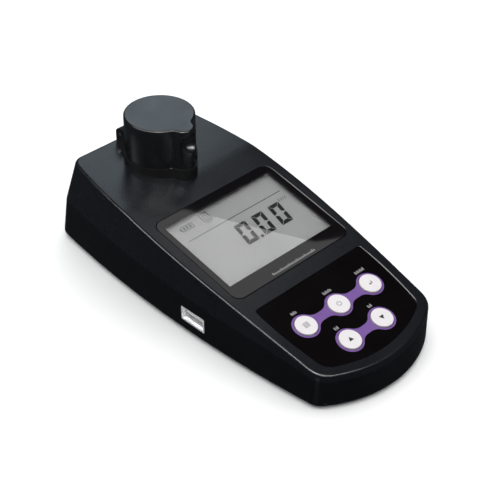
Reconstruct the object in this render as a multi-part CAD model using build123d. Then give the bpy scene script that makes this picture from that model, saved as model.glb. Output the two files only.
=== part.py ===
from build123d import *
import math
import os

# Portable turbidity meter, in millimetres.
# The meter stands on its feet at z = 0, its long side along Y, with the display end at -Y.
# The origin is the middle of its footprint. Everything is symmetric about x = 0, apart from the USB socket.

os.makedirs("parts", exist_ok=True)

# --- Driving dimensions: case -------------------------------------------------------------
FOOT_GAP = 1.2          # the feet lift the case floor to this height
WALL = 2.4              # case wall and roof
FLOOR = 2.2             # case floor
BELLY_Y = -12           # where the sides bulge most
REAR_RADIUS = 6.6       # plan radius of the two rear corners
TOP_EDGE_RADIUS = 1.5   # round where the roof meets the sides
BOTTOM_EDGE_RADIUS = 2.2
CREASE_Z = 21.4         # height at y = 0 of the line where the sides change from upright to leaning
CREASE_SLOPE = 0.0238   # that line rises this much per millimetre towards the rear
ROOF_TOP_Z = 52         # the sides are lofted up to here and then trimmed by the roof

# Roof: a flat platform at the rear, then one long shallow curve down to the keypad end.
RIDGE_Y = 35.7          # where the platform meets the curve
RIDGE_Z = 45.26
RIDGE_BLEND = 60        # radius that softens the ridge
PLATFORM_SLOPE = 0.095  # the platform still rises towards the rear
CURVE_START = math.atan(0.189)
CURVE_RADIUS = 1930

# Parting line: follows the crease, then dips so that the upper case keeps a front rim.
DIP_START_Y = -35
DIP_RADIUS = 297
SEAL_WIDTH = 1.0
SEAL_HEIGHT = 1.2

# --- Driving dimensions: sample well and lid ----------------------------------------------
WELL_Y = 57             # axis of the sample well
WELL_RADIUS = 12.8      # takes a 25 mm vial
WELL_FLOOR_Z = 8.2      # a 60 mm vial stands here
BLOCK_HALF = 17         # optical block half width
BLOCK_TOP_Z = 42.8
SLEEVE_RADIUS = 15.6    # collar sleeve that passes through the roof
COLLAR_RADIUS = 17.5
COLLAR_LOBE_REACH = 22.9
COLLAR_LOBE_RADIUS = 6.3
COLLAR_BLEND = 4.6
COLLAR_TOP_Z = 50.7
LID_RADIUS = 16.9
LID_BOTTOM_Z = 50.9
LID_TOP_Z = 71.2
LID_BORE = 14.6
LID_ROOF = 2.8
LOBE_REACH = 21.8       # thumb lobe, from the well axis to its front
LOBE_RADIUS = 5.3
LOBE_BLEND = 4
LID_TOP_ROUND = 0.9
SCOOP_Z = 63.5          # finger scoop under the lip of the lobe
SCOOP_RADIUS = 5.4
SCOOP_AHEAD = 0.6       # its centre lies this far in front of the lobe
PIN_Y = 76.2            # lid hinge axis, along X
PIN_Z = 54.6
PIN_RADIUS = 1.0
PIN_PLAY = 0.05         # radial clearance of the pin in the lid knuckle
EAR_RADIUS = 3.0
EAR_OUTER_X = 8.9
EAR_INNER_X = 5.6
KNUCKLE_HALF = 5.3
BEAM_Z = 26             # height of the light beam through the vial
BEAM_RADIUS = 2.5
SEAL_RING = (15.0, 16.4)   # inner and outer radius of the light seal under the lid
SEAL_RING_DEPTH = 0.9
DETECTOR_RADIUS = 4.1
DETECTOR_BORE = 3
CAN_LENGTH = 3.2
LEG_RADIUS = 0.25
LEG_LENGTH = 2.0
LENS_X = -15.6
LENS_THICK = 1.6
LAMP_X = (-24, -23, -18.5)  # back, shoulder and start of the dome
LAMP_SHOULDER = 2.9
HOLDER_RADIUS = 5

# --- Driving dimensions: display and keypad -----------------------------------------------
DISPLAY_Y = -5.45       # where the flat window touches the curved roof
WINDOW_WIDTH = 72.4
WINDOW_HEIGHT = 56.6
WINDOW_CORNER = 4.5
WINDOW_THICK = 1.5
VIEW_CENTRE = 1.8       # centre of the visible LCD area, up the slope from the window centre
VIEW_WIDTH = 65.8
VIEW_HEIGHT = 43.2
LCD_WIDTH = 70.4
LCD_HEIGHT = 47
LCD_TOP = -2.75         # depths are measured down from the window or keypad plane
LCD_BACK = -5.0
GUIDE_BACK = -7.35
BOARD_THICK = 1.6
PANEL_SINK = 0.1        # the flat panels sit this far into the crown of the roof
RECESS_PLAY = 0.1
EDGE_BREAK = 0.3        # the rims of the window and keypad recesses are broken this far

KEYPAD_Y = -64.5
OVERLAY_TOP = -0.5
OVERLAY_THICK = 0.5
KEY_RADIUS = 5.2
KEY_GAP = 0.3
KEY_TOP = 0.4
KEY_EDGE = 0.35
KEY_FLANGE_RADIUS = 6.2
KEY_FLANGE = (-3.3, -2.65)
KEY_STEM_RADIUS = 1.4
KEY_STEM_END = -5.3
KEY_BOARD_TOP = -6.8
SWITCH_TOP = -4.3
SWITCH_SIDE = 6.0
SWITCH_HOLE = 1.8
SWITCH_HOLE_END = -6.0
BAND_LOBE = 6.4
BAND_NECK = 4.6
KEYS_REAR = {"key_menu": -20.8, "key_measure": 0.0, "key_enter": 20.8}
KEYS_FRONT = {"key_up": -10.4, "key_down": 10.4}
REAR_ROW = 5.25         # the two rows of keys, up the slope from the keypad centre
FRONT_ROW = -11.55

# --- Driving dimensions: battery bay, boards and socket -----------------------------------
CELL_RADIUS = 7.25
CELL_LENGTH = 49.5
CELL_NUB = 1.0
CELL_PITCH = 14.9
CELL_Z = 10.95
BAY_HALF_X = 23.2
BAY_Y = (-45.5, 9.5)
BAY_CEILING = 18.9
BAY_WALL = 1.5
BAY_ROOF = 1.1
COVER_THICK = 2.0
COVER_LAP = 3.8         # the cover laps the bay opening by this much
COVER_GAP = 0.3
BOARD_Z = 21.2          # underside of the main board
USB_Y = -10.3
USB_Z = 10.85
USB_MOUTH_X = -42.2
USB_DEPTH = 13.8
USB_SIZE = (13.1, 5.7)
USB_MOUTH = (14.5, 7.2)
USB_SHEET = 0.3
USB_LIP = (0.5, -0.9, 0.5)  # the rolled lip: outward and inward growth of the mouth, thickness
TONGUE_LIFT = 1.75
TONGUE_THICK = 1.8
CONTACT_THICK = 0.2
CONTACT_PLACES = (-3.5, -1.0, 1.0, 3.5)
SCREWS = [(-28, 81, 30), (28, 81, 30), (-33, -50, 23.5), (33, -50, 23.5)]   # x, y, tip height
FEET = [(-30, 64), (30, 64), (-25, -76), (25, -76)]
FOOT_RADIUS = 5
FOOT_THICK = 2.0
GRIP_PITCH = 2.4        # five grooves in the battery cover
GRIP_WIDTH = 1.0
GRIP_DEPTH = 0.5
BIG = 150               # larger than the whole meter, for trimming solids


def save(node, *solids):
    """Writes one node, as a single solid or as a group of like ones."""
    pieces = [piece for shape in solids for piece in shape.solids()]
    export_step(pieces[0] if len(pieces) == 1 else Compound(children=pieces), f"parts/{node}.step")


def rod(radius, start, end):
    """A round bar between two points."""
    axis = Vector(*end) - Vector(*start)
    return Plane(origin=start, z_dir=axis) * extrude(Circle(radius), amount=axis.length)


def block(x, y, z):
    """A box given by its low and high limits along each axis."""
    size = [b - a for a, b in (x, y, z)]
    middle = [(a + b) / 2 for a, b in (x, y, z)]
    return Pos(*middle) * Box(*size)


# --- Case shape ---------------------------------------------------------------------------
def corner_inset(corner, before, after, inset):
    """A corner moved in so that the sides before and after it, taken clockwise, both move by inset."""
    first, second = Vector(before.Y, -before.X), Vector(after.Y, -after.X)
    return corner + (first + second) * (inset / (1 + first.dot(second)))


def bowed_outline(rear, belly, corner, apex_y, rear_radius, front_radius, inset):
    """Bulged sides, a straight rear end and a bowed front, symmetric about x = 0, corners rounded."""
    rear, corner = Vector(*rear), Vector(*corner)
    side = ThreePointArc(rear, belly, corner)
    front = ThreePointArc(corner, (0, apex_y), (-corner.X, corner.Y))
    rear = corner_inset(rear, Vector(1, 0), side % 0, inset)
    corner = corner_inset(corner, side % 1, front % 0, inset)
    side = ThreePointArc(rear, (belly[0] - inset, belly[1]), corner)
    front = ThreePointArc(corner, (0, apex_y + inset), (-corner.X, corner.Y))
    face = make_face([side, front, mirror(side, about=Plane.YZ), Line((-rear.X, rear.Y), rear)])
    face = fillet([v for v in face.vertices() if v.Y > belly[1]], rear_radius - inset)
    front_corners = [v for v in face.vertices() if v.Y < (corner.Y + belly[1]) / 2]
    return fillet(front_corners, front_radius - inset)


def roof_point(y):
    """Height and slope of the long curve of the roof at a distance y."""
    angle = math.asin(math.sin(CURVE_START) + (RIDGE_Y - y) / CURVE_RADIUS)
    return RIDGE_Z + CURVE_RADIUS * (math.cos(angle) - math.cos(CURVE_START)), angle


def under_roof(drop):
    """Everything below the roof surface, lowered by drop."""
    front, middle, rear = -110, -30, 110
    ridge = (RIDGE_Y, RIDGE_Z - drop)
    curve = ThreePointArc(
        (front, roof_point(front)[0] - drop), (middle, roof_point(middle)[0] - drop), ridge
    )
    rear_top = (rear, RIDGE_Z + PLATFORM_SLOPE * (rear - RIDGE_Y) - drop)
    outline = Polyline(ridge, rear_top, (rear, -BIG), (front, -BIG), curve @ 0)
    face = make_face([curve, outline])
    ridge_corner = [v for v in face.vertices() if abs(v.X - RIDGE_Y) < 0.1 and v.Y > 0]
    face = fillet(ridge_corner, RIDGE_BLEND)
    return extrude(Plane.YZ * face, amount=BIG, both=True)


def under_parting(drop):
    """Everything below the parting line between the two case halves, lowered by drop."""
    slope = math.atan(CREASE_SLOPE)
    rear, front, dip_end = 120, -120, -110
    dip_z = CREASE_Z + CREASE_SLOPE * DIP_START_Y - drop
    centre = (DIP_START_Y + DIP_RADIUS * math.sin(slope), dip_z - DIP_RADIUS * math.cos(slope))

    def on_dip(y):
        return (y, centre[1] + math.sqrt(DIP_RADIUS**2 - (y - centre[0]) ** 2))

    dip = ThreePointArc((DIP_START_Y, dip_z), on_dip((DIP_START_Y + dip_end) / 2), on_dip(dip_end))
    rear_z = CREASE_Z + CREASE_SLOPE * rear - drop
    outline = Polyline(dip @ 1, (front, on_dip(dip_end)[1]), (front, -BIG), (rear, -BIG), (rear, rear_z), dip @ 0)
    return extrude(Plane.YZ * make_face([dip, outline]), amount=BIG, both=True)


def case_body(inset, floor_rise):
    """The outer shape of the whole case, or its hollow when inset is the wall thickness."""
    slope = math.atan(CREASE_SLOPE)
    crease = Plane(origin=(0, 0, CREASE_Z), x_dir=(1, 0, 0), z_dir=(0, -math.sin(slope), math.cos(slope)))
    floor = bowed_outline((35.4, 95), (42.3, BELLY_Y), (37.1, -80.7), -95, REAR_RADIUS, 9, inset)
    waist = bowed_outline((35.0, 91), (42.4, BELLY_Y), (36.4, -82.3), -91.2, REAR_RADIUS, 11, inset)
    crown = bowed_outline((34.9, 79.6), (41.0, BELLY_Y), (29.0, -70.0), -83, REAR_RADIUS, 11, inset)
    floor = Pos(0, 0, FOOT_GAP + floor_rise) * floor
    waist = crease * waist
    crown = Pos(0, 0, ROOF_TOP_Z) * crown
    lower = loft([floor, waist], ruled=True)
    upper = loft([waist, crown], ruled=True)
    return (lower + upper) & under_roof(inset)


def on_roof_edge(edge):
    """True for the edges where the roof meets the sides."""
    middle = edge.position_at(0.5)
    ramp = roof_point(middle.Y)[0]
    platform = RIDGE_Z + PLATFORM_SLOPE * (middle.Y - RIDGE_Y)
    across_ridge = abs(middle.X) < 1 and abs(middle.Y - RIDGE_Y) < 15
    return abs(middle.Z - min(ramp, platform)) < 0.12 and not across_ridge


def panel_plane(y):
    """A flat plane that rests on the curved roof at y, with its own +Y up the slope."""
    z, angle = roof_point(y)
    up = Vector(0, -math.sin(angle), math.cos(angle))
    return Plane(origin=Vector(0, y, z) - up * PANEL_SINK, x_dir=(1, 0, 0), z_dir=up)


DISPLAY = panel_plane(DISPLAY_Y)
KEYPAD = panel_plane(KEYPAD_Y)


def slab(plane, face, bottom, top):
    """A flat outline on a panel plane, given thickness between two depths."""
    return plane * (Pos(0, 0, bottom) * extrude(face, amount=top - bottom))


def keypad_outline(inset):
    """Keypad recess: straight rear edge, slightly tapered sides and a bowed front."""
    return bowed_outline((33.7, 24.2), (33.2, 5), (30.6, -15.6), -23.4, 1.6, 7, inset)


def key_places():
    """Name and centre of every key on the keypad plane."""
    rear = [(name, x, REAR_ROW) for name, x in KEYS_REAR.items()]
    return rear + [(name, x, FRONT_ROW) for name, x in KEYS_FRONT.items()]


def key_holes(radius, bottom, top, names=None):
    """Round holes on the key centres, between two depths."""
    spots = [(x, y) for name, x, y in key_places() if names is None or name in names]
    return [slab(KEYPAD, Pos(x, y) * Circle(radius), bottom, top) for x, y in spots]


def band_outline(xs, row):
    """A ribbon that runs through a row of keys and swells round each of them."""
    face = Sketch() + [Pos(x, row) * Circle(BAND_LOBE) for x in xs]
    for left, right in zip(xs, xs[1:]):
        face += Pos((left + right) / 2, row) * Rectangle(right - left, BAND_NECK)
    inner = [v for v in face.vertices() if min(abs(v.X - x) for x in xs) < BAND_LOBE - 0.05]
    return fillet(inner, 6)


def lobed_outline(radius, reach, lobe_radius, blend):
    """A circle on the well axis with a thumb lobe towards the front, joined by hollow blends."""
    lobe_y = lobe_radius - reach
    blend_y = ((lobe_radius + blend) ** 2 - (radius + blend) ** 2 - lobe_y**2) / (-2 * lobe_y)
    hub = Vector(math.sqrt((radius + blend) ** 2 - blend_y**2), blend_y)
    lobe = Vector(0, lobe_y)
    on_circle = hub * (radius / (radius + blend))
    on_lobe = lobe + (hub - lobe) * (lobe_radius / (lobe_radius + blend))
    between = hub + ((on_circle + on_lobe) / 2 - hub).normalized() * blend
    right = ThreePointArc(on_circle, between, on_lobe)
    rear = ThreePointArc(on_circle, (0, radius), (-on_circle.X, on_circle.Y))
    front = ThreePointArc(on_lobe, (0, -reach), (-on_lobe.X, on_lobe.Y))
    return Pos(0, WELL_Y) * make_face([right, front, mirror(right, about=Plane.YZ), rear])


# --- Openings and posts shared by the case halves ---------------------------------------
view_face = Pos(0, VIEW_CENTRE) * Rectangle(VIEW_WIDTH + 1.6, VIEW_HEIGHT + 1.6)
overlay_bottom = OVERLAY_TOP - OVERLAY_THICK


def window_outline(grow):
    """The window, larger by grow on every side."""
    return RectangleRounded(WINDOW_WIDTH + 2 * grow, WINDOW_HEIGHT + 2 * grow, WINDOW_CORNER + grow)


def broken_rim(plane, outline, wider):
    """What a sloping cut takes off round the rim of a recess."""
    return loft([
        plane * (Pos(0, 0, -EDGE_BREAK) * outline),
        plane * (Pos(0, 0, EDGE_BREAK) * wider),
    ], ruled=True)



display_posts = [(x, y) for x in (-34, 34) for y in (-27.2, 30.3)]
key_posts = [(-10.4, 11.3), (10.4, 11.3), (-22.5, -9.5), (22.5, -9.5)]
board_posts = [(-28, 3), (28, 3), (-28, 32), (28, 32)]
socket_posts = [(-36, -16), (-36, -4.6)]
POST_RADIUS = 2.2
PILOT_RADIUS = 0.9
BOSS_RADIUS = 3.4
SCREW_RADIUS = 1.5
SCREW_PLAY = 0.05
HEAD_RADIUS = 2.8
HEAD_SEAT_Z = 5.2

outer = case_body(0, 0)
outer = fillet([e for e in outer.edges() if on_roof_edge(e)], TOP_EDGE_RADIUS)
bottom_edges = [e for e in outer.edges() if e.bounding_box().max.Z < FOOT_GAP + 0.05]
outer = fillet(bottom_edges, BOTTOM_EDGE_RADIUS)
hollow = case_body(WALL, FLOOR)

bosses = [Pos(x, y, 0) * Cylinder(BOSS_RADIUS, BIG) for x, y, _ in SCREWS]
shell = outer - hollow + [outer & boss for boss in bosses]
below = under_parting(0)

ring = outer & (case_body(0.8, 0) - case_body(0.8 + SEAL_WIDTH, 0))
case_seal = ring & (under_parting(-SEAL_HEIGHT / 2) - under_parting(SEAL_HEIGHT / 2))
save("case_seal", case_seal)

# --- Upper case -----------------------------------------------------------------------------
upper = shell - below - case_seal
upper += [outer & slab(DISPLAY, Pos(x, y) * Circle(POST_RADIUS), GUIDE_BACK, -1.9) for x, y in display_posts]
upper += [outer & slab(KEYPAD, Pos(x, y) * Circle(POST_RADIUS), KEY_BOARD_TOP, -1.9) for x, y in key_posts]
upper -= slab(DISPLAY, window_outline(RECESS_PLAY), -WINDOW_THICK, 5)
upper -= broken_rim(DISPLAY, window_outline(0), window_outline(2 * EDGE_BREAK))
upper -= slab(DISPLAY, view_face, LCD_TOP - 1, 0)
upper -= slab(KEYPAD, keypad_outline(0), overlay_bottom, 5)
upper -= broken_rim(KEYPAD, keypad_outline(RECESS_PLAY), keypad_outline(-2 * EDGE_BREAK))
upper -= key_holes(KEY_RADIUS + KEY_GAP, -4, 0)
upper -= [slab(DISPLAY, Pos(x, y) * Circle(PILOT_RADIUS), GUIDE_BACK, -3) for x, y in display_posts]
upper -= [slab(KEYPAD, Pos(x, y) * Circle(PILOT_RADIUS), KEY_BOARD_TOP, -3) for x, y in key_posts]
upper -= Pos(0, WELL_Y, 0) * Cylinder(SLEEVE_RADIUS, BIG)
upper -= [rod(SCREW_RADIUS + SCREW_PLAY, (x, y, 0), (x, y, top + 0.5)) for x, y, top in SCREWS]
save("upper_case", upper)

# --- Lower case -----------------------------------------------------------------------------
bay_x = (-BAY_HALF_X, BAY_HALF_X)
bay_outer_x = (-BAY_HALF_X - BAY_WALL, BAY_HALF_X + BAY_WALL)
bay_outer_y = (BAY_Y[0] - BAY_WALL, BAY_Y[1] + BAY_WALL)
cover_top = FOOT_GAP + COVER_THICK
recess_x = (bay_x[0] - COVER_LAP, bay_x[1] + COVER_LAP)
recess_y = (BAY_Y[0] - COVER_LAP, BAY_Y[1] + COVER_LAP)
rim_x = (recess_x[0] - 2, recess_x[1] + 2)
rim_y = (recess_y[0] - 2, recess_y[1] + 2)

lower = (shell & below) - case_seal
lower += block(bay_outer_x, bay_outer_y, (FOOT_GAP, BAY_CEILING + BAY_ROOF))
lower += block(rim_x, rim_y, (FOOT_GAP, cover_top + 2))
lower += [rod(POST_RADIUS + 0.3, (x, y, FOOT_GAP + 1), (x, y, BOARD_Z)) for x, y in board_posts]
socket_floor = USB_Z - USB_SIZE[1] / 2 - BOARD_THICK
lower += [rod(POST_RADIUS, (x, y, FOOT_GAP + 1), (x, y, socket_floor)) for x, y in socket_posts]
lower -= block(bay_x, BAY_Y, (0, BAY_CEILING))
lower -= block(recess_x, recess_y, (0, cover_top + 0.05))
lower -= [rod(PILOT_RADIUS, (x, y, BOARD_Z - 6), (x, y, BOARD_Z)) for x, y in board_posts]
lower -= [rod(FOOT_RADIUS, (x, y, 0), (x, y, FOOT_THICK)) for x, y in FEET]
lower -= [rod(SCREW_RADIUS + 0.3, (x, y, 0), (x, y, BIG)) for x, y, _ in SCREWS]
lower -= [rod(HEAD_RADIUS + 0.3, (x, y, 0), (x, y, HEAD_SEAT_Z)) for x, y, _ in SCREWS]
usb_window = RectangleRounded(USB_MOUTH[0] + 0.7, USB_MOUTH[1] + 0.8, 0.9)
lower -= Pos(-BIG / 3 + 12, USB_Y, USB_Z) * (Plane.YZ * extrude(usb_window, amount=12, both=True))
save("lower_case", lower)

# --- Battery cover: lifts off downwards -----------------------------------------------------
cover_x = (recess_x[0] + COVER_GAP, recess_x[1] - COVER_GAP)
cover_y = (recess_y[0] + COVER_GAP, recess_y[1] - COVER_GAP)
cover = block(cover_x, cover_y, (FOOT_GAP, cover_top))
cover = fillet(cover.edges().filter_by(Axis.Z), 1.0)
for step in range(5):
    y = cover_y[1] - 6 - GRIP_PITCH * step
    cover -= block((-8, 8), (y - GRIP_WIDTH / 2, y + GRIP_WIDTH / 2), (FOOT_GAP, FOOT_GAP + GRIP_DEPTH))
save("battery_cover", cover)

# --- Display stack --------------------------------------------------------------------------
pane = slab(DISPLAY, window_outline(0), -WINDOW_THICK, 0)
pane_rim = [e for e in pane.edges() if abs(DISPLAY.to_local_coords(e.position_at(0.5)).Z) < 0.01]
save("display_window", chamfer(pane_rim, 0.25))
lcd_face = Pos(0, VIEW_CENTRE) * Rectangle(LCD_WIDTH, LCD_HEIGHT)
save("lcd_panel", slab(DISPLAY, lcd_face, LCD_BACK, LCD_TOP))
save("backlight_guide", slab(DISPLAY, lcd_face, GUIDE_BACK, LCD_BACK))
frame_face = offset(lcd_face, 1.5, kind=Kind.INTERSECTION) - offset(lcd_face, 0.05, kind=Kind.INTERSECTION)
save("lcd_frame", slab(DISPLAY, frame_face, GUIDE_BACK, LCD_TOP))
board_face = Pos(0, 1.6) * RectangleRounded(74, 62.4, 2)
display_board = slab(DISPLAY, board_face, GUIDE_BACK - BOARD_THICK, GUIDE_BACK)
display_board -= [
    slab(DISPLAY, Pos(x, y) * Circle(PILOT_RADIUS + 0.2), GUIDE_BACK - 3, GUIDE_BACK + 1) for x, y in display_posts
]
save("display_board", display_board)

# --- Keypad ---------------------------------------------------------------------------------
rear_band = band_outline(list(KEYS_REAR.values()), REAR_ROW)
front_band = band_outline(list(KEYS_FRONT.values()), FRONT_ROW)
overlay = slab(KEYPAD, keypad_outline(RECESS_PLAY), overlay_bottom, OVERLAY_TOP)
for name, face, names in (
    ("key_band_rear", rear_band, KEYS_REAR),
    ("key_band_front", front_band, KEYS_FRONT),
):
    overlay -= slab(KEYPAD, face, overlay_bottom - 1, 1)
    band = slab(KEYPAD, face, overlay_bottom, OVERLAY_TOP + 0.1)
    save(name, band - key_holes(KEY_RADIUS + KEY_GAP, -4, 2, names))
save("keypad_overlay", overlay)

for name, x, y in key_places():
    cap = slab(KEYPAD, Pos(x, y) * Circle(KEY_RADIUS), KEY_FLANGE[1], KEY_TOP)
    cap = fillet([e for e in cap.edges() if KEYPAD.to_local_coords(e.position_at(0.5)).Z > 0], KEY_EDGE)
    flange = slab(KEYPAD, Pos(x, y) * Circle(KEY_FLANGE_RADIUS), *KEY_FLANGE)
    stem = slab(KEYPAD, Pos(x, y) * Circle(KEY_STEM_RADIUS), KEY_STEM_END, KEY_FLANGE[0])
    save(name, cap + flange + stem)

switches = []
for _, x, y in key_places():
    body = slab(KEYPAD, Pos(x, y) * RectangleRounded(SWITCH_SIDE, SWITCH_SIDE, 0.5), KEY_BOARD_TOP, SWITCH_TOP)
    switches.append(body - slab(KEYPAD, Pos(x, y) * Circle(SWITCH_HOLE), SWITCH_HOLE_END, SWITCH_TOP + 1))
save("key_switches", *switches)

key_board = slab(KEYPAD, Pos(0, -2.15) * RectangleRounded(52, 32.7, 6), KEY_BOARD_TOP - BOARD_THICK, KEY_BOARD_TOP)
key_board -= [
    slab(KEYPAD, Pos(x, y) * Circle(PILOT_RADIUS + 0.2), KEY_BOARD_TOP - 3, KEY_BOARD_TOP + 1) for x, y in key_posts
]
save("key_board", key_board)

# --- Main board, socket board and the small screws that hold the boards ---------------------
board_top = BOARD_Z + BOARD_THICK
main_board = Pos(0, 10, BOARD_Z) * extrude(RectangleRounded(64, 54, 2), amount=BOARD_THICK)
main_board -= [Pos(x, y, BOARD_Z) * Cylinder(PILOT_RADIUS + 0.2, 8) for x, y in board_posts]
save("main_board", main_board)

CHIPS = [(-12, 2, 10, 10, 1.4), (8, 6, 7, 5, 1.2), (-14, 20, 6, 4, 1.2), (14, 24, 5, 5, 1.0), (-2, 28, 8, 4, 1.4)]
save("board_chips", *[
    block((x - w / 2, x + w / 2), (y - d / 2, y + d / 2), (board_top, board_top + h)) for x, y, w, d, h in CHIPS
])


def pan_screw(plane, radius, head_radius, head_height, length):
    """A pan-head screw whose head rises from the plane and whose shank runs down from it."""
    head = plane * extrude(Circle(head_radius), amount=head_height)
    head = fillet(head.edges().sort_by(Axis(plane.origin, plane.z_dir))[-1], head_height * 0.4)
    cross = Rectangle(head_radius, head_radius * 0.24) + Rectangle(head_radius * 0.24, head_radius)
    shank = plane * extrude(Circle(radius), amount=-length)
    return head + shank - plane.offset(head_height * 0.45) * extrude(cross, amount=head_height)


small = (PILOT_RADIUS - 0.05, 1.8, 1.2, 5)
down = [
    pan_screw(Plane(origin=plane.from_local_coords(Vector(x, y, depth)), z_dir=-plane.z_dir), *small)
    for plane, posts, depth in (
        (DISPLAY, display_posts, GUIDE_BACK - BOARD_THICK),
        (KEYPAD, key_posts, KEY_BOARD_TOP - BOARD_THICK),
    )
    for x, y in posts
]
up = [pan_screw(Plane(origin=(x, y, board_top)), *small) for x, y in board_posts]
save("board_screws", *down, *up)
save("case_screws", *[
    pan_screw(Plane(origin=(x, y, HEAD_SEAT_Z), z_dir=(0, 0, -1)), SCREW_RADIUS, HEAD_RADIUS, 2.0, tip - HEAD_SEAT_Z)
    for x, y, tip in SCREWS
])

usb_back = USB_MOUTH_X + USB_DEPTH
socket_z = (socket_floor, socket_floor + BOARD_THICK)
socket_board = block((USB_MOUTH_X + 2.9, usb_back + 2.5), (USB_Y - 9, USB_Y + 9), socket_z)
save("socket_board", socket_board)


def usb_section(width, height, x):
    """A rectangle across the socket at a given x."""
    return Pos(x, USB_Y, USB_Z) * (Plane.YZ * Rectangle(width, height))


def usb_tube(grow):
    """The socket's outer form, flared at the mouth; grow is negative for its inside."""
    flare_x = USB_MOUTH_X + 1.4
    wide = usb_section(USB_MOUTH[0] + grow, USB_MOUTH[1] + grow, USB_MOUTH_X)
    narrow = usb_section(USB_SIZE[0] + grow, USB_SIZE[1] + grow, flare_x)
    return loft([wide, narrow], ruled=True) + extrude(narrow, amount=usb_back + (grow if grow else 0) - flare_x)


usb_shell = usb_tube(0) - usb_tube(-2 * USB_SHEET)
for side in (-1, 1):
    tab_y = USB_Y + side * 3.0
    slot = block((-38.5, -33), (tab_y - 1.3, tab_y + 1.3), (USB_Z, USB_Z + 5))
    finger = block((-37.9, -33), (tab_y - 0.9, tab_y + 0.9), (USB_Z, USB_Z + 5))
    usb_shell -= slot - finger
outward, inward, lip_thick = USB_LIP
lip = usb_section(USB_MOUTH[0] + outward, USB_MOUTH[1] + outward, USB_MOUTH_X)
lip -= usb_section(USB_MOUTH[0] + inward, USB_MOUTH[1] + inward, USB_MOUTH_X)
usb_shell += extrude(lip, amount=lip_thick)
save("usb_shell", usb_shell)

tongue_z = (USB_Z + TONGUE_LIFT - TONGUE_THICK, USB_Z + TONGUE_LIFT)
tongue = block((USB_MOUTH_X + 1.6, usb_back - 0.6), (USB_Y - 5.6, USB_Y + 5.6), tongue_z)
plug_stop = block((usb_back - 3.5, usb_back - 0.6), (USB_Y - 6.2, USB_Y + 6.2), (USB_Z - 2.5, USB_Z + 2.5))
save("usb_tongue", tongue + plug_stop)
save("usb_contacts", *[
    block(
        (USB_MOUTH_X + 2.2, usb_back - 3.5),
        (USB_Y + y - 0.5, USB_Y + y + 0.5),
        (tongue_z[0] - CONTACT_THICK, tongue_z[0]),
    )
    for y in CONTACT_PLACES
])

# --- Optical head ---------------------------------------------------------------------------
collar_face = lobed_outline(COLLAR_RADIUS, COLLAR_LOBE_REACH, COLLAR_LOBE_RADIUS, COLLAR_BLEND)
flange = extrude(collar_face, amount=COLLAR_TOP_Z)
hinge_foot = block((-EAR_OUTER_X, EAR_OUTER_X), (WELL_Y + 10, PIN_Y + EAR_RADIUS), (0, COLLAR_TOP_Z))
collar = (flange + hinge_foot) - under_roof(0)
for side in (-1, 1):
    inner, outer_x = side * EAR_INNER_X, side * EAR_OUTER_X
    ear = rod(EAR_RADIUS, (inner, PIN_Y, PIN_Z), (outer_x, PIN_Y, PIN_Z))
    web = block(sorted((inner, outer_x)), (PIN_Y - EAR_RADIUS, PIN_Y + EAR_RADIUS), (COLLAR_TOP_Z, PIN_Z))
    collar += ear + web
collar += rod(SLEEVE_RADIUS, (0, WELL_Y, BLOCK_TOP_Z), (0, WELL_Y, COLLAR_TOP_Z))
collar -= rod(WELL_RADIUS, (0, WELL_Y, 0), (0, WELL_Y, BIG))
collar -= rod(PIN_RADIUS, (-20, PIN_Y, PIN_Z), (20, PIN_Y, PIN_Z))
seal_top = LID_BOTTOM_Z - 0.05
seal_base = COLLAR_TOP_Z - SEAL_RING_DEPTH
seal_face = Circle(SEAL_RING[1]) - Circle(SEAL_RING[0])
seal_ring = Pos(0, WELL_Y, seal_base) * extrude(seal_face, amount=seal_top - seal_base)
collar -= seal_ring
save("well_collar", collar)
save("light_seal", seal_ring)

optical = block((-BLOCK_HALF, BLOCK_HALF), (WELL_Y - BLOCK_HALF, WELL_Y + BLOCK_HALF), (FOOT_GAP + FLOOR, BLOCK_TOP_Z))
optical = fillet(optical.edges().filter_by(Axis.Z), 2)
optical -= rod(WELL_RADIUS, (0, WELL_Y, WELL_FLOOR_Z), (0, WELL_Y, BIG))
detector_seat = BLOCK_HALF - DETECTOR_BORE
centre = Vector(0, WELL_Y, BEAM_Z)
for direction in (Vector(-1, 0, 0), Vector(1, 0, 0), Vector(0, 1, 0)):
    optical -= rod(BEAM_RADIUS, centre, centre + direction * 40)
for direction in (Vector(1, 0, 0), Vector(0, 1, 0)):
    optical -= rod(DETECTOR_RADIUS, centre + direction * detector_seat, centre + direction * 40)
save("optical_block", optical)

lens = rod(BEAM_RADIUS, (LENS_X, WELL_Y, BEAM_Z), (LENS_X + LENS_THICK, WELL_Y, BEAM_Z))
lens = fillet(lens.edges().sort_by(Axis.X)[-1], 1.2)
save("beam_lens", lens)
lamp_back, lamp_shoulder, lamp_dome = [(x, WELL_Y, BEAM_Z) for x in LAMP_X]
shoulder = rod(LAMP_SHOULDER, lamp_back, lamp_shoulder)
lamp = rod(BEAM_RADIUS, lamp_shoulder, lamp_dome) + Pos(*lamp_dome) * Sphere(BEAM_RADIUS) + shoulder
save("infrared_lamp", lamp)
block_side = (-BLOCK_HALF, WELL_Y, BEAM_Z)
holder = rod(HOLDER_RADIUS, lamp_back, block_side) - rod(BEAM_RADIUS, lamp_back, block_side) - shoulder
save("lamp_holder", holder)


def detector(direction):
    """A round metal-can photodiode with a stepped rim and two legs, looking along -direction."""
    seat = centre + direction * detector_seat
    can = rod(DETECTOR_RADIUS - 0.4, seat, seat + direction * CAN_LENGTH)
    rim = rod(DETECTOR_RADIUS, seat + direction * (CAN_LENGTH - 0.8), seat + direction * CAN_LENGTH)
    legs = []
    for offset_z in (-1.3, 1.3):
        start = seat + direction * CAN_LENGTH + Vector(0, 0, offset_z)
        legs.append(rod(LEG_RADIUS, start, start + direction * LEG_LENGTH))
    return can + rim + legs


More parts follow.
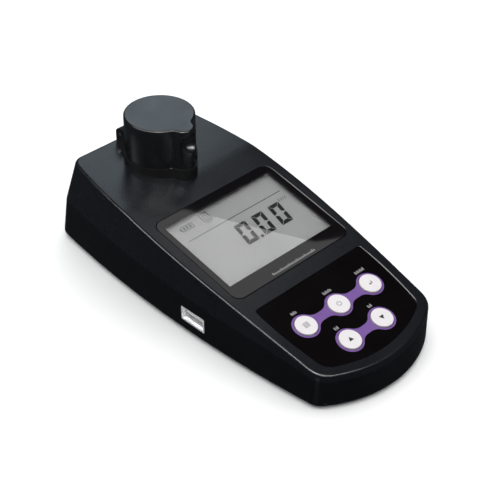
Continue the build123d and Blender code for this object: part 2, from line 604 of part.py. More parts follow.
save("through_detector", detector(Vector(1, 0, 0)))
save("scatter_detector", detector(Vector(0, 1, 0)))
sensor_board_y = WELL_Y + BLOCK_HALF + 2.2
save("sensor_board", block((-15, 25), (sensor_board_y, sensor_board_y + BOARD_THICK), (10, 38)))

# --- Flat cables between the boards ---------------------------------------------------------
FLEX_THICK = 0.3
FLEX_GAP = 0.4


def ribbon(half_width, points):
    """A flat cable whose underside follows points given as (y, z)."""
    top = [(y, z + FLEX_THICK) for y, z in reversed(points)]
    return extrude(Plane.YZ * make_face(Polyline(*points, *top, close=True)), amount=half_width, both=True)


def panel_point(plane, up_slope, depth):
    """The (y, z) of a point on the middle line of a panel plane."""
    point = plane.from_local_coords(Vector(0, up_slope, depth))
    return point.Y, point.Z


display_back = GUIDE_BACK - BOARD_THICK - FLEX_GAP
save("display_flex", ribbon(9, [
    (12, board_top), (17, board_top),
    panel_point(DISPLAY, 22, display_back), panel_point(DISPLAY, 28, display_back),
]))
save("key_flex", ribbon(6, [
    panel_point(KEYPAD, 10, KEY_BOARD_TOP + 0.1), panel_point(KEYPAD, 14, KEY_BOARD_TOP + 0.1),
    panel_point(DISPLAY, -32, display_back - FLEX_GAP), panel_point(DISPLAY, -20, display_back),
]))
save("sensor_flex", Pos(21.5, 0, 0) * ribbon(3, [(33, board_top), (38, board_top), (sensor_board_y - 0.05, 27)]))

# --- Lid ------------------------------------------------------------------------------------
lid_face = lobed_outline(LID_RADIUS, LOBE_REACH, LOBE_RADIUS, LOBE_BLEND)
lid = Pos(0, 0, LID_BOTTOM_Z) * extrude(lid_face, amount=LID_TOP_Z - LID_BOTTOM_Z)
arm = block((-KNUCKLE_HALF, KNUCKLE_HALF), (WELL_Y + 10, PIN_Y), (PIN_Z - EAR_RADIUS, PIN_Z + EAR_RADIUS))
knuckle = rod(EAR_RADIUS, (-KNUCKLE_HALF, PIN_Y, PIN_Z), (KNUCKLE_HALF, PIN_Y, PIN_Z))
lid = lid + arm + knuckle
lid = fillet([e for e in lid.edges() if e.bounding_box().min.Z > LID_TOP_Z - 0.01], LID_TOP_ROUND)
lid -= rod(LID_BORE, (0, WELL_Y, 0), (0, WELL_Y, LID_TOP_Z - LID_ROOF))
lid -= Pos(0, WELL_Y - LOBE_REACH - SCOOP_AHEAD, SCOOP_Z) * Sphere(SCOOP_RADIUS)
lid -= rod(PIN_RADIUS + PIN_PLAY, (-20, PIN_Y, PIN_Z), (20, PIN_Y, PIN_Z))
save("light_shield_lid", lid)
save("lid_hinge_pin", rod(PIN_RADIUS, (-EAR_OUTER_X, PIN_Y, PIN_Z), (EAR_OUTER_X, PIN_Y, PIN_Z)))

# --- Cells, contacts and feet ---------------------------------------------------------------
PLATE = 0.3
cells, contacts = [], []
for index in (-1, 0, 1):
    x = index * CELL_PITCH
    flip = -1 if index == 0 else 1
    flat_y, nub_y = (BAY_Y[0], BAY_Y[1])[::flip]
    start = nub_y - flip * (PLATE + CELL_NUB)
    end = start - flip * CELL_LENGTH
    can = rod(CELL_RADIUS, (x, end, CELL_Z), (x, start, CELL_Z))
    can = fillet(can.edges().filter_by(GeomType.CIRCLE), 0.6)
    cells.append(can + rod(2.75, (x, start, CELL_Z), (x, start + flip * CELL_NUB, CELL_Z)))
    for face_y, inward in ((nub_y, -flip), (flat_y, flip)):
        limits = sorted((face_y, face_y + inward * PLATE))
        contacts.append(block((x - 5.5, x + 5.5), limits, (CELL_Z - 5, CELL_Z + 5)))
    gap = abs(flat_y - end) - PLATE
    turns = 4
    path = Helix(pitch=(gap - 0.9) / turns, height=gap - 0.9, radius=3.2)
    wire = Plane(origin=path @ 0, z_dir=path % 0) * Circle(0.35)
    coil = sweep(wire, path=path)
    place = Plane(origin=(x, flat_y + flip * (PLATE + 0.42), CELL_Z), z_dir=(0, flip, 0))
    contacts.append(place * coil)
save("battery_cells", *cells)
save("battery_contacts", *contacts)


def foot(x, y):
    """A round rubber pad with a softened rim."""
    pad = rod(FOOT_RADIUS, (x, y, 0), (x, y, FOOT_THICK))
    return fillet(pad.edges().sort_by(Axis.Z)[0], 0.4)


save("rubber_feet", *[foot(x, y) for x, y in FEET])
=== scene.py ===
import math

import bmesh
import bpy
from mathutils import Matrix, Vector


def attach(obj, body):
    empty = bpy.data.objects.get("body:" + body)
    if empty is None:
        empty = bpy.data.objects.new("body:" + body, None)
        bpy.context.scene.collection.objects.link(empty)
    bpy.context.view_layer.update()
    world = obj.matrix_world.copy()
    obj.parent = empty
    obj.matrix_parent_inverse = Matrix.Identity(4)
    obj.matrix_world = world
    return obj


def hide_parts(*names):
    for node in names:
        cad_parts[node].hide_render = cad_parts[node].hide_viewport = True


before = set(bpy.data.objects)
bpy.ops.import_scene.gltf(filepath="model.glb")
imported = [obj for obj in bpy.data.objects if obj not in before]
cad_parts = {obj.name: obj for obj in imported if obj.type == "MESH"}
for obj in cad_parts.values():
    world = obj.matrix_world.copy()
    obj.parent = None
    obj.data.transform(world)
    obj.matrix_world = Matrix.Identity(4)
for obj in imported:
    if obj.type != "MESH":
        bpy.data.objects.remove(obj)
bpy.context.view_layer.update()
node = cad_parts

# --- Case halves ---------------------------------------------------------------------------
# Two satin ABS mouldings, black with a slight blue cast, that meet at the crease in the side
# and are screwed together from below. Spark-eroded tools leave a very fine grain on them, and
# hands leave soft shiny patches.


def finish(name, colour, rough, metal=0.0, tone=0.10, patch=0.020, smudge=0.05,
           grain=0.0004, relief=0.10, stretch=(1, 1, 1), **direct):
    """A Principled finish that drifts with noise in Object coordinates: tone and smudge say how far
    colour and roughness go either way, patch and grain are sizes in metres, and whatever is named
    in direct is set on the shader as it stands."""
    made = bpy.data.materials.new(name)
    made.use_nodes = True
    tree = made.node_tree
    tree.nodes.clear()
    out = tree.nodes.new("ShaderNodeOutputMaterial")
    body = tree.nodes.new("ShaderNodeBsdfPrincipled")
    tree.links.new(body.outputs["BSDF"], out.inputs["Surface"])
    body.inputs["Metallic"].default_value = metal
    for socket, value in direct.items():
        body.inputs[socket.replace("_", " ")].default_value = value
    place = tree.nodes.new("ShaderNodeTexCoord")
    spread = tree.nodes.new("ShaderNodeMapping")
    spread.inputs["Scale"].default_value = stretch
    tree.links.new(place.outputs["Object"], spread.inputs["Vector"])
    drift = noise(tree, spread, 1 / patch, 3.0)
    fine = noise(tree, spread, 1 / grain, 2.0)
    tint = tree.nodes.new("ShaderNodeMix")
    tint.data_type = "RGBA"
    tint.inputs["A"].default_value = [c * (1 - tone) for c in colour] + [1]
    tint.inputs["B"].default_value = [min(1, c * (1 + tone)) for c in colour] + [1]
    tree.links.new(drift.outputs["Fac"], tint.inputs["Factor"])
    tree.links.new(tint.outputs["Result"], body.inputs["Base Color"])
    sheen = tree.nodes.new("ShaderNodeMapRange")
    sheen.inputs["From Min"].default_value = 0.3
    sheen.inputs["From Max"].default_value = 0.7
    sheen.inputs["To Min"].default_value = max(0.01, rough - smudge)
    sheen.inputs["To Max"].default_value = min(1.0, rough + smudge)
    tree.links.new(drift.outputs["Fac"], sheen.inputs["Value"])
    tree.links.new(sheen.outputs["Result"], body.inputs["Roughness"])
    if relief:
        bump = tree.nodes.new("ShaderNodeBump")
        bump.inputs["Strength"].default_value = relief
        bump.inputs["Distance"].default_value = grain * 0.12
        tree.links.new(fine.outputs["Fac"], bump.inputs["Height"])
        tree.links.new(bump.outputs["Normal"], body.inputs["Normal"])
    return made


def noise(tree, source, scale, detail):
    """A noise texture over mapped coordinates, scale in steps per metre."""
    made = tree.nodes.new("ShaderNodeTexNoise")
    made.inputs["Scale"].default_value = scale
    made.inputs["Detail"].default_value = detail
    tree.links.new(source.outputs["Vector"], made.inputs["Vector"])
    return made


def wear(name, material):
    """Gives a CAD node its finish as its only material."""
    piece = node[name]
    piece.data.materials.clear()
    piece.data.materials.append(material)
    return piece


case_black = finish("case_abs", (0.0040, 0.0047, 0.0066), 0.27, tone=0.16, patch=0.028,
                    smudge=0.04, grain=0.00045, relief=0.22, Specular_IOR_Level=0.55)
wear("upper_case", case_black)
# The lower half wears the same ABS made darker: painted shade for the lower side, which lies away
# from the light.
lower_painted_shade_black = finish("case_abs_lower_painted_shade", (0.0018, 0.0022, 0.0031), 0.33, tone=0.16, patch=0.028,
                     smudge=0.05, grain=0.00045, relief=0.24, Specular_IOR_Level=0.4)
wear("lower_case", lower_painted_shade_black)

# --- Battery cover -------------------------------------------------------------------------
# The same ABS as the case, a flat snap-in lid under the meter with five grip grooves.
# It is opened often, so its grain is a little more polished than the case round it.
cover_black = finish("cover_abs", (0.0052, 0.0060, 0.0078), 0.30, tone=0.20, patch=0.012,
                     smudge=0.08, grain=0.00040, relief=0.18, Specular_IOR_Level=0.5)
wear("battery_cover", cover_black)

# --- Screws --------------------------------------------------------------------------------
# Zinc-plated steel with a cross recess: four hold the case halves together from below, and
# twelve small ones hold the boards. The plating is slightly yellow in places.
screw_zinc = finish("screw_zinc", (0.52, 0.52, 0.50), 0.33, metal=1.0, tone=0.15, patch=0.002,
                    smudge=0.10, grain=0.00015, relief=0.15)
wear("case_screws", screw_zinc)
wear("board_screws", screw_zinc)

# --- Rubber feet and seals -----------------------------------------------------------------
# Four black rubber discs glued under the case, the cord of soft rubber pinched between its
# halves, and the ring that shuts daylight out of the well. All are matt and uneven in tone.
rubber = finish("rubber", (0.022, 0.022, 0.023), 0.78, tone=0.30, patch=0.004, smudge=0.08,
                grain=0.00025, relief=0.35, Specular_IOR_Level=0.3)
wear("rubber_feet", rubber)
wear("case_seal", rubber)
wear("light_seal", rubber)

# --- Light-shield lid and its pin ----------------------------------------------------------
# A deep moulded cap that keeps daylight off the vial, smoother than the case, with a thumb lobe
# and a finger scoop at the front. It swings back on a ground steel pin through its knuckle.
lid_black = finish("lid_plastic", (0.0052, 0.0060, 0.0075), 0.24, tone=0.12, patch=0.012,
                   smudge=0.04, grain=0.00040, relief=0.10, Specular_IOR_Level=0.6)
wear("light_shield_lid", lid_black)
pin_steel = finish("pin_steel", (0.47, 0.47, 0.48), 0.22, metal=1.0, tone=0.06, patch=0.002,
                   smudge=0.05, grain=0.00010, relief=0.06, stretch=(0.1, 1, 1))
wear("lid_hinge_pin", pin_steel)

# --- Well collar ---------------------------------------------------------------------------
# The black ring round the mouth of the sample well, with the two hinge ears behind it.
# A small pale tampo-printed mark at its front left shows which way round a vial goes in.


def tilted_plane(origin, normal):
    """The matrix that puts x across the meter, y to its rear and z along the normal."""
    across = Vector((1, 0, 0))
    rear = normal.cross(across).normalized()
    place = Matrix((across, rear, normal)).transposed().to_4x4()
    place.translation = origin
    return place


def add_piece(name, work, place, body, material):
    """Makes a piece that rides on a body out of a bmesh drawn on a plane."""
    bmesh.ops.recalc_face_normals(work, faces=work.faces)
    bmesh.ops.transform(work, matrix=place, verts=work.verts)
    mesh = bpy.data.meshes.new(name)
    work.to_mesh(mesh)
    work.free()
    mesh.materials.append(material)
    piece = bpy.data.objects.new(name, mesh)
    bpy.context.scene.collection.objects.link(piece)
    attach(piece, body)
    return piece


def ink(name, outlines, origin, normal, low, high, body, material):
    """Thin printed or laid-on shapes: 2-D outlines in millimetres on a tilted plane, raised from
    low to high above it, in millimetres."""
    work = bmesh.new()
    for outline in outlines:
        floor = [work.verts.new((x / 1000, y / 1000, low / 1000)) for x, y in outline]
        roof = [work.verts.new((x / 1000, y / 1000, high / 1000)) for x, y in outline]
        work.faces.new(list(reversed(floor)))
        work.faces.new(roof)
        for i in range(len(outline)):
            j = (i + 1) % len(outline)
            work.faces.new((floor[i], floor[j], roof[j], roof[i]))
    return add_piece(name, work, tilted_plane(origin, normal), body, material)


collar_black = finish("collar_plastic", (0.0020, 0.0022, 0.0026), 0.50, tone=0.15, patch=0.010,
                      smudge=0.05, grain=0.00035, relief=0.25, Specular_IOR_Level=0.35)
wear("well_collar", collar_black)
mark_white = finish("mark_ink", (0.62, 0.63, 0.64), 0.55, tone=0.05, patch=0.001, relief=0.0)
COLLAR_TOP = Vector((0, 0.057, 0.0507))
UP = Vector((0, 0, 1))
arrowhead = [(-7.8, -15.45), (-6.9, -15.85), (-6.9, -15.5)]
ink("index_mark", [arrowhead], COLLAR_TOP, UP, -0.02, 0.05, "case", mark_white)

# --- Optical block and its parts -----------------------------------------------------------
# Under the collar a dull black block holds the vial. An infrared lamp shines through a glass
# lens across it, to one detector opposite and one at a right angle, each in a metal can.
block_black = finish("block_plastic", (0.0060, 0.0060, 0.0064), 0.62, tone=0.12, patch=0.006,
                     smudge=0.05, grain=0.00030, relief=0.30, Specular_IOR_Level=0.3)
wear("optical_block", block_black)
wear("lamp_holder", block_black)
lens_glass = finish("lens_glass", (0.93, 0.96, 0.98), 0.04, tone=0.01, patch=0.002, smudge=0.01,
                    relief=0.0, Coat_Weight=0.6)
wear("beam_lens", lens_glass)
lamp_epoxy = finish("lamp_epoxy", (0.16, 0.18, 0.30), 0.12, tone=0.08, patch=0.002, smudge=0.03,
                    relief=0.0, Coat_Weight=0.5)
wear("infrared_lamp", lamp_epoxy)
can_metal = finish("can_metal", (0.66, 0.63, 0.55), 0.28, metal=1.0, tone=0.08, patch=0.002,
                   smudge=0.06, grain=0.00012, relief=0.08)
wear("through_detector", can_metal)
wear("scatter_detector", can_metal)

# --- Circuit boards ------------------------------------------------------------------------
# Five fibreglass boards under green solder mask, paler in patches where copper lies below it,
# with black epoxy chips and key switches. Flat cables of amber film join them.
board_green = finish("board_mask", (0.010, 0.120, 0.045), 0.30, tone=0.35, patch=0.003,
                     smudge=0.06, grain=0.00050, relief=0.15, Coat_Weight=0.3)
for name in ("main_board", "display_board", "key_board", "sensor_board", "socket_board"):
    wear(name, board_green)
chip_epoxy = finish("chip_epoxy", (0.018, 0.018, 0.019), 0.55, tone=0.12, patch=0.002,
                    grain=0.00020, relief=0.20)
wear("board_chips", chip_epoxy)
wear("key_switches", chip_epoxy)
flex_film = finish("flex_film", (0.42, 0.19, 0.03), 0.30, tone=0.18, patch=0.003, smudge=0.05,
                   grain=0.00060, relief=0.12, Coat_Weight=0.2)
for name in ("display_flex", "key_flex", "sensor_flex"):
    wear(name, flex_film)

# --- Battery cells and contacts ------------------------------------------------------------
# Three AA cells side by side, each in a printed film jacket with a copper-coloured band at one
# end, and the nickel-plated springs and plates that join them.


def banded(made, colour, axis, low, high):
    """Adds a second colour to a finish between two heights along one axis, in metres."""
    tree = made.node_tree
    body = next(n for n in tree.nodes if n.type == "BSDF_PRINCIPLED")
    base = body.inputs["Base Color"].links[0].from_socket
    place = next(n for n in tree.nodes if n.type == "TEX_COORD")
    split = tree.nodes.new("ShaderNodeSeparateXYZ")
    tree.links.new(place.outputs["Object"], split.inputs["Vector"])
    inside = tree.nodes.new("ShaderNodeMath")
    inside.operation = "COMPARE"
    inside.inputs[1].default_value = (low + high) / 2
    inside.inputs[2].default_value = (high - low) / 2
    tree.links.new(split.outputs[axis], inside.inputs[0])
    mix = tree.nodes.new("ShaderNodeMix")
    mix.data_type = "RGBA"
    mix.inputs["B"].default_value = [*colour, 1]
    tree.links.new(inside.outputs["Value"], mix.inputs["Factor"])
    tree.links.new(base, mix.inputs["A"])
    tree.links.new(mix.outputs["Result"], body.inputs["Base Color"])


cell_film = finish("cell_film", (0.030, 0.032, 0.040), 0.24, tone=0.10, patch=0.008, smudge=0.04,
                   grain=0.00080, relief=0.05, Coat_Weight=0.3)
BAND_FRONT, BAND_REAR = -0.0440, -0.0300
banded(cell_film, (0.55, 0.36, 0.10), "Y", BAND_FRONT, BAND_REAR)
wear("battery_cells", cell_film)
contact_nickel = finish("contact_nickel", (0.66, 0.66, 0.64), 0.26, metal=1.0, tone=0.08,
                        patch=0.002, smudge=0.06, grain=0.00015, relief=0.08)
wear("battery_contacts", contact_nickel)

# --- Data socket ---------------------------------------------------------------------------
# A type A socket in the left side: a bright folded shell of nickel-plated steel, a pale tongue
# in its upper half and four gold-plated contacts under the tongue.
socket_nickel = finish("socket_nickel", (0.80, 0.80, 0.82), 0.36, metal=0.35, tone=0.05,
                       patch=0.003, smudge=0.05, grain=0.00020, relief=0.06)
wear("usb_shell", socket_nickel)
tongue = finish("tongue_plastic", (0.66, 0.66, 0.66), 0.45, tone=0.05, patch=0.003, relief=0.05)
wear("usb_tongue", tongue)
contact_gold = finish("contact_gold", (0.80, 0.56, 0.20), 0.24, metal=1.0, tone=0.06,
                      patch=0.001, smudge=0.05, grain=0.00010, relief=0.05)
wear("usb_contacts", contact_gold)

# --- Display window ------------------------------------------------------------------------
# A clear hard-coated acrylic pane, pressed flush into the roof, 1.5 mm thick with its top edge
# broken. Its underside is printed black all round the visible part of the liquid crystal.


def rounded(width, height, corner, cx=0.0, cy=0.0, steps=8):
    """Outline of a rounded rectangle, anticlockwise, in millimetres."""
    points = []
    for i, (sx, sy) in enumerate(((1, 1), (-1, 1), (-1, -1), (1, -1))):
        for k in range(steps + 1):
            a = math.pi / 2 * (i + k / steps)
            points.append((cx + sx * (width / 2 - corner) + corner * math.cos(a),
                           cy + sy * (height / 2 - corner) + corner * math.sin(a)))
    return points


def bar(x, y, width, height):
    """Outline of an upright rectangle from its lower left corner."""
    return [(x, y), (x + width, y), (x + width, y + height), (x, y + height)]


DISPLAY_ORIGIN = Vector((0, -0.00543, 0.03692))
DISPLAY_NORMAL = Vector((0, -0.2070, 0.9783)).normalized()
PANE_WIDTH, PANE_HEIGHT, PANE_CORNER, PANE_EDGE = 72.4, 56.6, 4.5, 0.30
VIEW_WIDTH, VIEW_HEIGHT, VIEW_CORNER, VIEW_CENTRE = 65.8, 43.2, 0.3, 1.8
CLEAR_DEPTH, BORDER_DEPTH = 0.40, 1.50


def ring_stack(name, rings, material, capped=True):
    """A solid through stacked outlines [(outline, height), ...] of equal length, in millimetres on
    the display plane, capped at both ends or closed on itself round a hole."""
    work = bmesh.new()
    made = [[work.verts.new((x / 1000, y / 1000, z / 1000)) for x, y in outline]
            for outline, z in rings]
    count = len(made[0])
    pairs = list(zip(made, made[1:]))
    if capped:
        work.faces.new(list(reversed(made[0])))
        work.faces.new(made[-1])
    else:
        pairs.append((made[-1], made[0]))
    for lower, upper in pairs:
        for i in range(count):
            j = (i + 1) % count
            work.faces.new((lower[i], lower[j], upper[j], upper[i]))
    return add_piece(name, work, tilted_plane(DISPLAY_ORIGIN, DISPLAY_NORMAL), "case",
                     material)


pane_clear = finish("pane_acrylic", (0.97, 0.98, 0.98), 0.012, tone=0.01, patch=0.020,
                    smudge=0.002, relief=0.0, Transmission_Weight=1.0, IOR=1.49)
opening = rounded(VIEW_WIDTH, VIEW_HEIGHT, VIEW_CORNER, 0, VIEW_CENTRE)
pane = ring_stack("window_pane", [(opening, -CLEAR_DEPTH), (opening, 0.0)], pane_clear)
pane.visible_shadow = False
border_gloss = finish("border_gloss", (0.0030, 0.0022, 0.0026), 0.03, tone=0.05, patch=0.020,
                      smudge=0.004, relief=0.0, Specular_IOR_Level=0.5)
full = rounded(PANE_WIDTH, PANE_HEIGHT, PANE_CORNER)
eased = rounded(PANE_WIDTH - 2 * PANE_EDGE, PANE_HEIGHT - 2 * PANE_EDGE, PANE_CORNER - PANE_EDGE)
ring_stack("window_border", [(opening, -BORDER_DEPTH), (full, -BORDER_DEPTH),
                             (full, -PANE_EDGE), (eased, 0.0), (opening, 0.0)],
           border_gloss, capped=False)
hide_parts("display_window")
caption_ink = finish("caption_ink", (0.62, 0.62, 0.62), 0.6, tone=0.05, patch=0.004, relief=0.0)
SCALE_TICKS, SCALE_PITCH, SCALE_LEFT, SCALE_FOOT = 27, 1.0, -12.1, -26.6
TICK_WIDTH, LONG_TICK, SHORT_TICK = 0.22, 1.5, 0.9
scale = [bar(SCALE_LEFT + step * SCALE_PITCH, SCALE_FOOT, TICK_WIDTH,
             SHORT_TICK if step % 5 else LONG_TICK) for step in range(SCALE_TICKS)]
ink("caption_scale", scale, DISPLAY_ORIGIN, DISPLAY_NORMAL, -0.004, 0.004, "case",
    caption_ink)

# --- Liquid crystal and its light guide ----------------------------------------------------
# A reflective grey liquid-crystal glass with dark slanted seven-segment numerals, a rule and
# two plain pictograms, lit from behind by a milky guide in a white frame.
LCD_SURFACE = -2.75
lcd_grey = finish("lcd_grey", (0.152, 0.150, 0.149), 0.42, tone=0.04, patch=0.030, smudge=0.04,
                  grain=0.00030, relief=0.03, Specular_IOR_Level=0.3)
wear("lcd_panel", lcd_grey)
guide_milk = finish("guide_milk", (0.80, 0.81, 0.78), 0.40, tone=0.03, patch=0.010, relief=0.03)
wear("backlight_guide", guide_milk)
frame_white = finish("frame_plastic", (0.66, 0.66, 0.63), 0.45, tone=0.05, patch=0.010,
                     grain=0.00040, relief=0.10)
wear("lcd_frame", frame_white)

DIGIT_HEIGHT, DIGIT_WIDTH, STROKE, SLANT = 12.8, 7.0, 2.1, 0.165
DIGIT_LEFTS, DIGIT_FOOT, POINT_SIZE = (-6.4, 4.5, 15.5), -5.0, 1.7


def slanted(points, x, y):
    """Moves an outline to a place and leans it like the numerals."""
    return [(x + px + SLANT * py, y + py) for px, py in points]


def zero(x, y):
    """The six lit segments of a 0, with mitred ends and hairline gaps."""
    w, h, t, gap = DIGIT_WIDTH, DIGIT_HEIGHT, STROKE, 0.16
    waist, shoulder = h / 2 + 0.35, h / 2 + 1.0
    top = [(gap, h), (t + gap, h - t), (w - t - gap, h - t), (w - gap, h)]
    upper = [(0, h - gap), (0, waist), (t / 2, waist), (t, shoulder), (t, h - t - gap)]
    mirror = [(px, h - py) for px, py in upper]
    shapes = [top, [(px, h - py) for px, py in top], upper, mirror,
              [(w - px, py) for px, py in upper], [(w - px, py) for px, py in mirror]]
    return [slanted(shape, x, y) for shape in shapes]


def line(x0, y0, x1, y1, width):
    """A straight stroke as a four-cornered outline."""
    dx, dy = x1 - x0, y1 - y0
    length = math.hypot(dx, dy)
    ox, oy = -dy / length * width / 2, dx / length * width / 2
    return [(x0 + ox, y0 + oy), (x0 - ox, y0 - oy), (x1 - ox, y1 - oy), (x1 + ox, y1 + oy)]


def box_lines(x0, y0, x1, y1, width):
    return [line(x0, y0, x1, y0, width), line(x1, y0, x1, y1, width),
            line(x1, y1, x0, y1, width), line(x0, y1, x0, y0, width)]


lcd_dark = finish("lcd_segment", (0.0022, 0.0024, 0.0024), 0.50, tone=0.05, patch=0.010,
                  relief=0.0, Specular_IOR_Level=0.1)
segments = [shape for x in DIGIT_LEFTS for shape in zero(x, DIGIT_FOOT)]
segments.append(slanted(bar(0, 0, POINT_SIZE, POINT_SIZE), 1.9, -5.2))
ink("lcd_numerals", segments, DISPLAY_ORIGIN, DISPLAY_NORMAL, LCD_SURFACE + 0.01,
    LCD_SURFACE + 0.05, "case", lcd_dark)
lcd_faint = finish("lcd_pictogram", (0.008, 0.009, 0.009), 0.50, tone=0.05, patch=0.010,
                   relief=0.0, Specular_IOR_Level=0.1)
marks = [line(-27.6, 12.5, 30.8, 12.5, 0.36)]
battery = box_lines(-25.4, 18.3, -18.7, 21.2, 0.36) + [bar(-26.3, 19.1, 0.8, 1.3)]
battery += [slanted(bar(0, 0, 1.0, 1.7), x, 18.9) for x in (-24.5, -22.7, -20.9)]
vial = box_lines(-13.1, 17.4, -8.6, 22.6, 0.40) + box_lines(-11.8, 18.3, -9.9, 21.0, 0.34)
vial += [line(-11.4, 21.6, -10.3, 21.6, 0.5), line(-12.6, 16.3, -9.1, 16.3, 0.25)]
unit = [line(x, 7.2, x + 0.3, 9.0, 0.30) for x in (25.6, 27.0, 28.4, 29.8)]
marks += battery + vial + unit
ink("lcd_marks", marks, DISPLAY_ORIGIN, DISPLAY_NORMAL, LCD_SURFACE + 0.01, LCD_SURFACE + 0.04,
    "case", lcd_faint)

# --- Keypad overlay ------------------------------------------------------------------------
# A satin black polyester sheet laid in the front recess, with two purple waisted inlays that
# join the keys, and plain rows of pale ticks where a maker would name each key.
KEYPAD_ORIGIN = Vector((0, -0.06448, 0.02346))
KEYPAD_NORMAL = Vector((0, -0.23763, 0.97136)).normalized()
overlay_black = finish("overlay_film", (0.0015, 0.0010, 0.0012), 0.42, tone=0.10, patch=0.020,
                       smudge=0.05, grain=0.00050, relief=0.10, Specular_IOR_Level=0.05)
wear("keypad_overlay", overlay_black)
band_purple = finish("band_ink", (0.146, 0.071, 0.255), 0.42, tone=0.05, patch=0.010,
                     smudge=0.04, grain=0.00050, relief=0.06, Specular_IOR_Level=0.3)
wear("key_band_rear", band_purple)
wear("key_band_front", band_purple)
label_ink = finish("label_ink", (0.55, 0.55, 0.56), 0.6, tone=0.05, patch=0.004, relief=0.0)
LABEL_REAR, LABEL_FRONT, LABEL_PITCH, LABEL_STROKE = 12.8, -4.2, 0.85, 0.26
LABEL_TALL, LABEL_SHORT, OVERLAY_TOP = 1.6, 1.2, -0.50
ticks = []
for x, foot, count in ((-20.3, LABEL_REAR, 4), (0.9, LABEL_REAR, 6), (22.3, LABEL_REAR, 7),
                       (-10.7, LABEL_FRONT, 3), (11.0, LABEL_FRONT, 3)):
    for i in range(count):
        middle = x + (i - (count - 1) / 2) * LABEL_PITCH
        height = LABEL_SHORT if i % 2 else LABEL_TALL
        ticks.append(line(middle, foot, middle, foot + height, LABEL_STROKE))
ink("key_labels", ticks, KEYPAD_ORIGIN, KEYPAD_NORMAL, OVERLAY_TOP, OVERLAY_TOP + 0.03, "case",
    label_ink)

# --- Keys ----------------------------------------------------------------------------------
# Five white round keys, moulded with a soft rim, each on a stem over its own switch. The plain
# pictograms on them are pad printed: a list, a standby ring, a return arrow and two triangles.
KEY_FACE = 0.40
key_white = finish("key_plastic", (0.67, 0.64, 0.65), 0.34, tone=0.03, patch=0.004, smudge=0.04,
                   grain=0.00040, relief=0.06, Specular_IOR_Level=0.5)
for name in ("key_menu", "key_measure", "key_enter", "key_up", "key_down"):
    wear(name, key_white)
glyph_grey = finish("glyph_grey", (0.16, 0.16, 0.17), 0.5, tone=0.05, patch=0.001, relief=0.0)
glyph_black = finish("glyph_black", (0.010, 0.010, 0.011), 0.5, tone=0.05, patch=0.001,
                     relief=0.0)
ROW_REAR, ROW_FRONT, KEY_PITCH = 5.25, -11.55, 20.8


def glyph(name, outlines, x, y, body, material):
    """Prints a pictogram on the key whose middle is at x, y of the keypad plane."""
    placed = [[(x + px, y + py) for px, py in outline] for outline in outlines]
    return ink(name, placed, KEYPAD_ORIGIN, KEYPAD_NORMAL, KEY_FACE - 0.01, KEY_FACE + 0.02, body,
               material)


listing = [line(-1.25, y, 1.25, y, 0.26) for y in (-1.2, -0.6, 0.0, 0.6, 1.2)]
listing += [line(-1.25, -1.2, -1.25, 1.2, 0.22), line(1.25, -1.2, 1.25, 1.2, 0.22)]
glyph("glyph_list", listing, -KEY_PITCH, ROW_REAR, "key_menu", glyph_grey)
RING_INNER, RING_OUTER, RING_STEPS = 0.95, 1.25, 22
RING_START, RING_SWEEP = 125, 290
ring = []
for i in range(RING_STEPS):
    a, b = (math.radians(RING_START + k * RING_SWEEP / RING_STEPS) for k in (i, i + 1))
    ring.append([(radius * math.cos(angle), radius * math.sin(angle)) for radius, angle in
                 ((RING_INNER, a), (RING_OUTER, a), (RING_OUTER, b), (RING_INNER, b))])
ring.append(line(0, 0.3, 0, 1.5, 0.32))
glyph("glyph_standby", ring, 0.0, ROW_REAR, "key_measure", glyph_grey)
returns = [line(0.85, 0.9, 0.85, -0.35, 0.34), line(0.95, -0.35, -0.5, -0.35, 0.34),
           [(-1.2, -0.35), (-0.3, -1.0), (-0.3, 0.3)]]
glyph("glyph_return", returns, KEY_PITCH, ROW_REAR, "key_enter", glyph_black)
triangle = [(-1.3, -0.95), (1.3, -0.95), (0, 1.15)]
flipped = [(-x, -y) for x, y in triangle]
glyph("glyph_up", [triangle], -KEY_PITCH / 2, ROW_FRONT, "key_up", glyph_black)
glyph("glyph_down", [flipped], KEY_PITCH / 2, ROW_FRONT, "key_down", glyph_black)

# --- Floor, light and camera ---------------------------------------------------------------
# A plain white table under even overhead light. Hard-edged softboxes behind and beside the
# meter give the wedge of glare on the window and the thin bright lines on the rounded edges.


def lamp(name, place, aim, width, height, power, colour=(1, 1, 1), mirrored=True):
    """A soft rectangular lamp; one that isn't mirrored lights surfaces but shows in no gloss."""
    data = bpy.data.lights.new(name, "AREA")
    data.shape = "RECTANGLE"
    data.size, data.size_y = width, height
    data.energy = power
    data.color = colour
    made = bpy.data.objects.new(name, data)
    made.location = place
    made.rotation_euler = (Vector(aim) - Vector(place)).to_track_quat("-Z", "Y").to_euler()
    made.visible_glossy = mirrored
    made.visible_transmission = mirrored
    made.visible_camera = False
    bpy.context.scene.collection.objects.link(made)
    return made


def glowing_sheet(name, points, faces, strength, colour=(1, 1, 1), lights=True):
    """A flat or curved softbox cloth; one that doesn't light surfaces shows only in their gloss."""
    mesh = bpy.data.meshes.new(name)
    mesh.from_pydata(points, [], faces)
    made = bpy.data.objects.new(name, mesh)
    bpy.context.scene.collection.objects.link(made)
    glow = bpy.data.materials.new(name)
    glow.use_nodes = True
    glow.node_tree.nodes.clear()
    emit = glow.node_tree.nodes.new("ShaderNodeEmission")
    emit.inputs["Strength"].default_value = strength
    emit.inputs["Color"].default_value = (*colour, 1)
    sheet = glow.node_tree.nodes.new("ShaderNodeOutputMaterial")
    glow.node_tree.links.new(emit.outputs["Emission"], sheet.inputs["Surface"])
    mesh.materials.append(glow)
    made.visible_diffuse = lights
    made.visible_camera = False
    made.visible_shadow = False
    return made


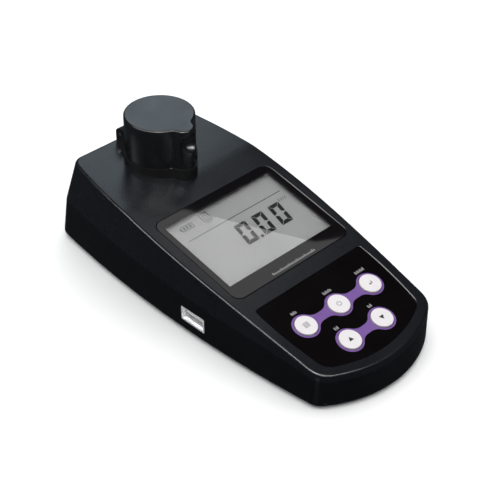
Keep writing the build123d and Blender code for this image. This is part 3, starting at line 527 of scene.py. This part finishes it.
FLOOR_SIZE = 4.0
floor_mesh = bpy.data.meshes.new("floor")
table = bmesh.new()
bmesh.ops.create_grid(table, x_segments=8, y_segments=8, size=FLOOR_SIZE)
table.to_mesh(floor_mesh)
table.free()
floor = bpy.data.objects.new("floor", floor_mesh)
bpy.context.scene.collection.objects.link(floor)
floor_mesh.materials.append(finish("floor_white", (0.92, 0.92, 0.92), 0.9, tone=0.0, patch=0.5,
                                   smudge=0.0, relief=0.0, Specular_IOR_Level=0.1))
floor.visible_glossy = False

world = bpy.data.worlds.new("studio")
bpy.context.scene.world = world
world.use_nodes = True
background = world.node_tree.nodes["Background"]
background.inputs["Color"].default_value = (0.80, 0.90, 1.0, 1)
background.inputs["Strength"].default_value = 0.05

lamp("overhead_fill", (0.0, 0.0, 1.8), (0, 0, 0), 4.0, 4.0, 105, mirrored=False)
lamp("platform_box", (0.490, 0.631, 0.615), (0.0, 0.05, 0.05), 0.30, 0.34, 0.52, (0.78, 0.91, 1.0))

# The glare that crosses the display with a hard edge.
wedge_origin = Vector((0.50599, 0.23856, 0.74009))
wedge_across = Vector((-0.43435, 0.90075, 0.0))
wedge_up = Vector((-0.70375, -0.33935, 0.62416))
wedge_outline = [(-0.108, -0.0655), (-0.0658, -0.0338), (0.0817, 0.0024), (0.17, 0.024),
                 (0.20, 0.20), (-0.04, 0.20), (-0.055, 0.10)]
wedge = [wedge_origin + wedge_across * u + wedge_up * v for u, v in wedge_outline]
glowing_sheet("wedge_box", wedge, [list(range(len(wedge)))], 1.10)

# The bright line along the rounded edge of the roof.
RIBBON_WIDTH, RIBBON_LIFT = 0.26, Vector((0, 0, 0.03))
arc = [Vector(p).normalized() for p in
       ((-0.50, 0.62, 0.66), (-0.54, 0.46, 0.71), (-0.59, 0.31, 0.74), (-0.56, 0.02, 0.83),
        (-0.42, -0.29, 0.86), (-0.18, -0.50, 0.84), (0.07, -0.64, 0.76), (0.30, -0.64, 0.70))]
ribbon = []
for i, here in enumerate(arc):
    along = arc[min(i + 1, len(arc) - 1)] - arc[max(i - 1, 0)]
    side = along.cross(here).normalized() * RIBBON_WIDTH / 2
    ribbon += [here + side + RIBBON_LIFT, here - side + RIBBON_LIFT]
strips = [(i, i + 1, i + 3, i + 2) for i in range(0, len(ribbon) - 2, 2)]
glowing_sheet("edge_ribbon", ribbon, strips, 9.0, lights=False)

# The line on the front edge of the lid.
thumb_box = [Vector((-0.62, -0.30, 0.78)), Vector((-0.30, -0.62, 0.78)),
             Vector((-0.16, -0.40, 0.96)), Vector((-0.40, -0.16, 0.96))]
glowing_sheet("thumb_box", thumb_box, [(0, 1, 2, 3)], 26.0, lights=False)

# A faint sheen low on the left side.
low_sheet = [Vector((-0.80, -0.28, -0.56)), Vector((-0.70, -0.42, -0.56)),
             Vector((-0.66, -0.40, -0.78)), Vector((-0.76, -0.26, -0.78))]
glowing_sheet("low_sheet", low_sheet, [(0, 1, 2, 3)], 0.7, (0.85, 0.93, 1.0), lights=False)

# The lens is long, so the far end of the case looks hardly smaller.
camera_place = Vector((-0.3369, -0.3418, 0.3865))
azimuth, elevation, roll = (math.radians(v) for v in (-44.916, 37.224, 0.571))
toward = Vector((math.sin(azimuth) * math.cos(elevation),
                 -math.cos(azimuth) * math.cos(elevation), math.sin(elevation)))
across = Vector((math.cos(azimuth), math.sin(azimuth), 0))
pose = Matrix((across, toward.cross(across), toward)).transposed() @ Matrix.Rotation(roll, 3, "Z")
camera_data = bpy.data.cameras.new("camera")
camera_data.lens = 93.34
camera_data.sensor_width = 36
camera_data.clip_start = 0.01
camera = bpy.data.objects.new("camera", camera_data)
camera.matrix_world = Matrix.Translation(camera_place) @ pose.to_4x4()
bpy.context.scene.collection.objects.link(camera)
bpy.context.scene.camera = camera
bpy.context.scene.view_settings.view_transform = "Standard"
